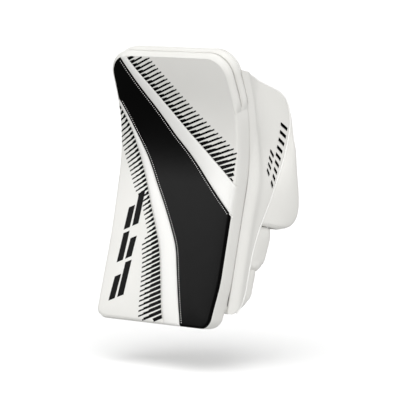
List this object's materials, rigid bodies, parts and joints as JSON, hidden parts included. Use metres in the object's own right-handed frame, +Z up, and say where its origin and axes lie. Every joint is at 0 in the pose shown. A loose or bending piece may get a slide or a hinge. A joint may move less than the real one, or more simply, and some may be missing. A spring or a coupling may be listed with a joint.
{
  "type": "goalie blocker",
  "caption": "Right-hand ice hockey goalie blocker: bent padded board with a side wing and hinged thumb guard, and a glove, cuff and wrist strap on its back.",
  "frame": {"origin": "the centre of the wrist opening, at the cuff's top edge", "axes": "+X to the thumb side, +Y from the board's front face back towards the palm, +Z up from the fingers to the forearm; the board's lower stretch leans 15 degrees, its bottom edge forward"},
  "size_m": [0.2254, 0.1909, 0.3875],
  "materials": {
    "white_leather": "smooth synthetic leather, white, soft sheen",
    "black_leather": "smooth synthetic leather, black, satin",
    "back_leather": "smooth synthetic leather, off-white, matt",
    "foam": "closed-cell foam, matt",
    "plastic_sheet": "polyethylene sheet, matt",
    "palm_suede": "brushed synthetic palm cloth, light grey",
    "black_mesh": "spacer mesh, black",
    "loop_pile": "looped pile, black",
    "hook_pile": "woven hook tape, black"
  },
  "bodies": {
    "board": {"face_panel_left": "white_leather", "face_stripe_left": "white_leather", "face_panel_black": "black_leather", "face_stripe_right": "white_leather", "face_panel_right": "white_leather", "front_foam": "foam", "stiffener_sheet": "plastic_sheet", "rear_foam": "foam", "back_cover": "back_leather", "side_band": "white_leather", "top_roll_front": "white_leather", "top_roll_back": "white_leather", "wing_panel": "white_leather", "wing_sheet": "plastic_sheet", "wing_pad": "foam", "wing_liner": "black_mesh", "index_pad_lower": "white_leather", "index_pad_upper": "white_leather", "knuckle_pad": "black_mesh", "cuff_back_pad": "black_mesh", "hand_back": "black_mesh", "palm_panel": "palm_suede", "heel_pad": "palm_suede", "little_side_gusset": "black_mesh", "thumb_side_gusset": "black_mesh", "rear_flap": "black_mesh", "loop_patch": "loop_pile"},
    "thumb_guard": {"thumb_guard_shell": "white_leather", "thumb_guard_foam": "foam", "thumb_stall": "palm_suede"},
    "cuff_flap": {"cuff_flap": "white_leather", "strap_anchor": "black_mesh"},
    "wrist_strap": {"wrist_strap": "white_leather", "strap_tab": "black_leather", "hook_patch": "hook_pile"},
    "index_upper": {"index_stall_upper": "palm_suede"},
    "index_tip": {"index_stall_tip": "palm_suede"},
    "middle_upper": {"middle_stall_upper": "palm_suede"},
    "middle_tip": {"middle_stall_tip": "palm_suede"},
    "ring_upper": {"ring_stall_upper": "palm_suede"},
    "ring_tip": {"ring_stall_tip": "palm_suede"},
    "little_upper": {"little_stall_upper": "palm_suede"},
    "little_tip": {"little_stall_tip": "palm_suede"}
  },
  "joints": [
    {"name": "thumb_guard_hinge", "type": "hinge", "parent": "board", "child": "thumb_guard", "pos_m": [0.0825, -0.01516, -0.08808], "axis": [-0.0403, -0.4387, -0.8977], "range_deg": [-4, 30], "stiffness_Nm_per_rad": 2},
    {"name": "cuff_flap_hinge", "type": "hinge", "parent": "board", "child": "cuff_flap", "pos_m": [-0.0595, -0.04906, -0.0293], "axis": [0, 0.2588, 0.9659], "range_deg": [0, 40], "stiffness_Nm_per_rad": 0.5},
    {"name": "wrist_strap_hinge", "type": "hinge", "parent": "cuff_flap", "child": "wrist_strap", "pos_m": [-0.0645, 0.00647, -0.03072], "axis": [0, 0.2588, 0.9659], "range_deg": [0, 120]},
    {"name": "index_knuckle", "type": "hinge", "parent": "board", "child": "index_upper", "pos_m": [0.039, -0.06085, -0.1452], "axis": [1, 0, 0], "range_deg": [0, 50], "stiffness_Nm_per_rad": 0.02},
    {"name": "index_middle_joint", "type": "hinge", "parent": "index_upper", "child": "index_tip", "pos_m": [0.039, -0.07224, -0.1877], "axis": [1, 0, 0], "range_deg": [0, 45], "stiffness_Nm_per_rad": 0.02},
    {"name": "middle_knuckle", "type": "hinge", "parent": "board", "child": "middle_upper", "pos_m": [0.013, -0.06034, -0.14327], "axis": [1, 0, 0], "range_deg": [0, 50], "stiffness_Nm_per_rad": 0.02},
    {"name": "middle_middle_joint", "type": "hinge", "parent": "middle_upper", "child": "middle_tip", "pos_m": [0.013, -0.07276, -0.18963], "axis": [1, 0, 0], "range_deg": [0, 45], "stiffness_Nm_per_rad": 0.02},
    {"name": "ring_knuckle", "type": "hinge", "parent": "board", "child": "ring_upper", "pos_m": [-0.013, -0.06085, -0.1452], "axis": [1, 0, 0], "range_deg": [0, 50], "stiffness_Nm_per_rad": 0.02},
    {"name": "ring_middle_joint", "type": "hinge", "parent": "ring_upper", "child": "ring_tip", "pos_m": [-0.013, -0.07224, -0.1877], "axis": [1, 0, 0], "range_deg": [0, 45], "stiffness_Nm_per_rad": 0.02},
    {"name": "little_knuckle", "type": "hinge", "parent": "board", "child": "little_upper", "pos_m": [-0.039, -0.06241, -0.15099], "axis": [1, 0, 0], "range_deg": [0, 50], "stiffness_Nm_per_rad": 0.02},
    {"name": "little_middle_joint", "type": "hinge", "parent": "little_upper", "child": "little_tip", "pos_m": [-0.039, -0.07172, -0.18577], "axis": [1, 0, 0], "range_deg": [0, 45], "stiffness_Nm_per_rad": 0.02}
  ],
  "couplings": [
    {"joint": "index_middle_joint", "follows": "index_knuckle", "ratio": 0.9},
    {"joint": "middle_middle_joint", "follows": "middle_knuckle", "ratio": 0.9},
    {"joint": "ring_middle_joint", "follows": "ring_knuckle", "ratio": 0.9},
    {"joint": "little_middle_joint", "follows": "little_knuckle", "ratio": 0.9}
  ]
}
